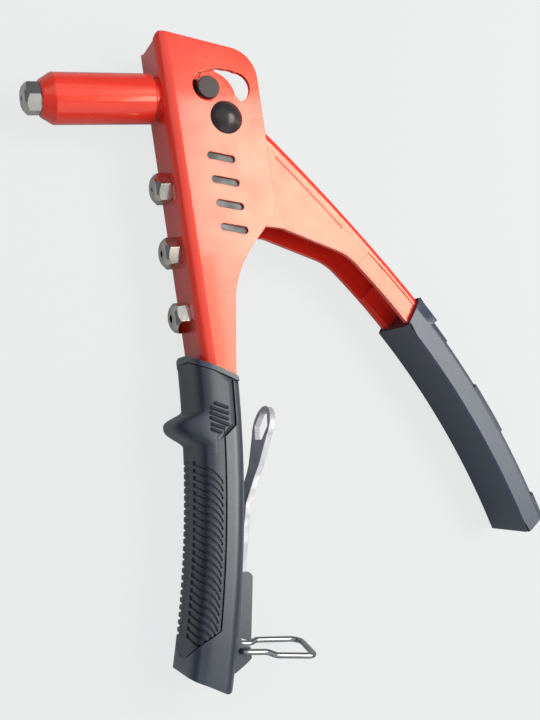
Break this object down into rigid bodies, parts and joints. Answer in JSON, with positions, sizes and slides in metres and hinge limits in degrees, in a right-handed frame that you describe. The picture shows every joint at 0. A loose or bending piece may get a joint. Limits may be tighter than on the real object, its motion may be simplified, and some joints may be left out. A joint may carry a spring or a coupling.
{
  "type": "lever hand riveter",
  "caption": "Hand lever tool that sets blind rivets: red pressed-steel head and lever, hollow pulling barrel, soft grips, spare nosepieces, slide-out wrench and wire bail.",
  "frame": {"origin": "mouth of the fitted nosepiece, on the barrel axis, in the middle plane of the tool", "axes": "the tool lies flat: -X runs out of the nosepiece towards the rivet, the fixed handle runs along -Y, +Z comes out of the side that the picture shows"},
  "size_m": [0.1946, 0.2441, 0.0308],
  "materials": {
    "red_paint_body": "gloss",
    "red_paint_barrel": "gloss",
    "red_paint_lever": "gloss",
    "plain_steel_plate": "satin",
    "turned_steel": "satin",
    "nickel_plate": "bright",
    "hardened_steel": "satin",
    "spring_steel": "satin",
    "black_oxide_steel": "satin",
    "black_polished": "gloss",
    "grey_plastic": "satin",
    "dark_rubber": "matt",
    "dark_grip": "satin",
    "zinc_plate": "bright zinc",
    "bright_wire": "bright"
  },
  "bodies": {
    "tool_body": {"body_channel": "red_paint_body", "backing_plate_near": "plain_steel_plate", "backing_plate_far": "plain_steel_plate", "head_bush": "turned_steel", "barrel": "red_paint_barrel", "nosepiece_fitted": "nickel_plate", "nosepiece_spare_1": "nickel_plate", "nosepiece_spare_2": "nickel_plate", "nosepiece_spare_3": "nickel_plate", "return_spring": "spring_steel", "pivot_pin": "black_polished", "pivot_cap": "black_polished", "fixed_grip_shell": "grey_plastic", "fixed_grip_pad": "dark_rubber"},
    "lever_arm": {"lever_channel": "red_paint_lever", "lever_grip": "dark_grip", "drive_pin": "black_oxide_steel", "drive_pin_clip": "black_oxide_steel"},
    "pull_unit": {"pull_rod": "hardened_steel", "jaw_case": "hardened_steel", "jaw_case_locknut": "turned_steel", "jaw_spring": "spring_steel"},
    "upper_jaw": {"jaw_upper": "hardened_steel"},
    "lower_jaw": {"jaw_lower": "hardened_steel"},
    "pusher": {"jaw_pusher": "turned_steel"},
    "wrench_strip": {"wrench": "zinc_plate"},
    "bail_wire": {"bail": "bright_wire"}
  },
  "joints": [
    {"name": "lever_hinge", "type": "hinge", "parent": "tool_body", "child": "lever_arm", "pos_m": [0.0736, -0.0115, 0], "axis": [0, 0, -1], "range_deg": [0, 28]},
    {"name": "pull_slide", "type": "slide", "parent": "tool_body", "child": "pull_unit", "axis": [1, 0, 0], "range_m": [0, 0.00629], "stiffness_N_per_m": 900, "springref_m": -0.006, "deforming": ["return_spring"]},
    {"name": "upper_jaw_slide", "type": "slide", "parent": "pull_unit", "child": "upper_jaw", "axis": [-0.9739, -0.2272, 0], "range_m": [0, 0.0012]},
    {"name": "lower_jaw_slide", "type": "slide", "parent": "pull_unit", "child": "lower_jaw", "axis": [-0.9739, 0.2272, 0], "range_m": [0, 0.0012]},
    {"name": "pusher_slide", "type": "slide", "parent": "pull_unit", "child": "pusher", "axis": [-1, 0, 0], "range_m": [0, 0.00117], "deforming": ["jaw_spring"]},
    {"name": "wrench_slide", "type": "slide", "parent": "tool_body", "child": "wrench_strip", "axis": [0.2504, 0.9681, 0], "range_m": [0, 0.03]},
    {"name": "bail_swing", "type": "hinge", "parent": "tool_body", "child": "bail_wire", "pos_m": [0.05, -0.21, 0], "axis": [0, 0, 1], "range_deg": [-80, 75]}
  ],
  "couplings": [
    {"joint": "pull_slide", "follows": "lever_hinge", "m_per_rad": 0.01287},
    {"joint": "upper_jaw_slide", "follows": "lever_hinge", "m_per_rad": 0.00245},
    {"joint": "lower_jaw_slide", "follows": "lever_hinge", "m_per_rad": 0.00245},
    {"joint": "pusher_slide", "follows": "lever_hinge", "m_per_rad": 0.002386}
  ]
}
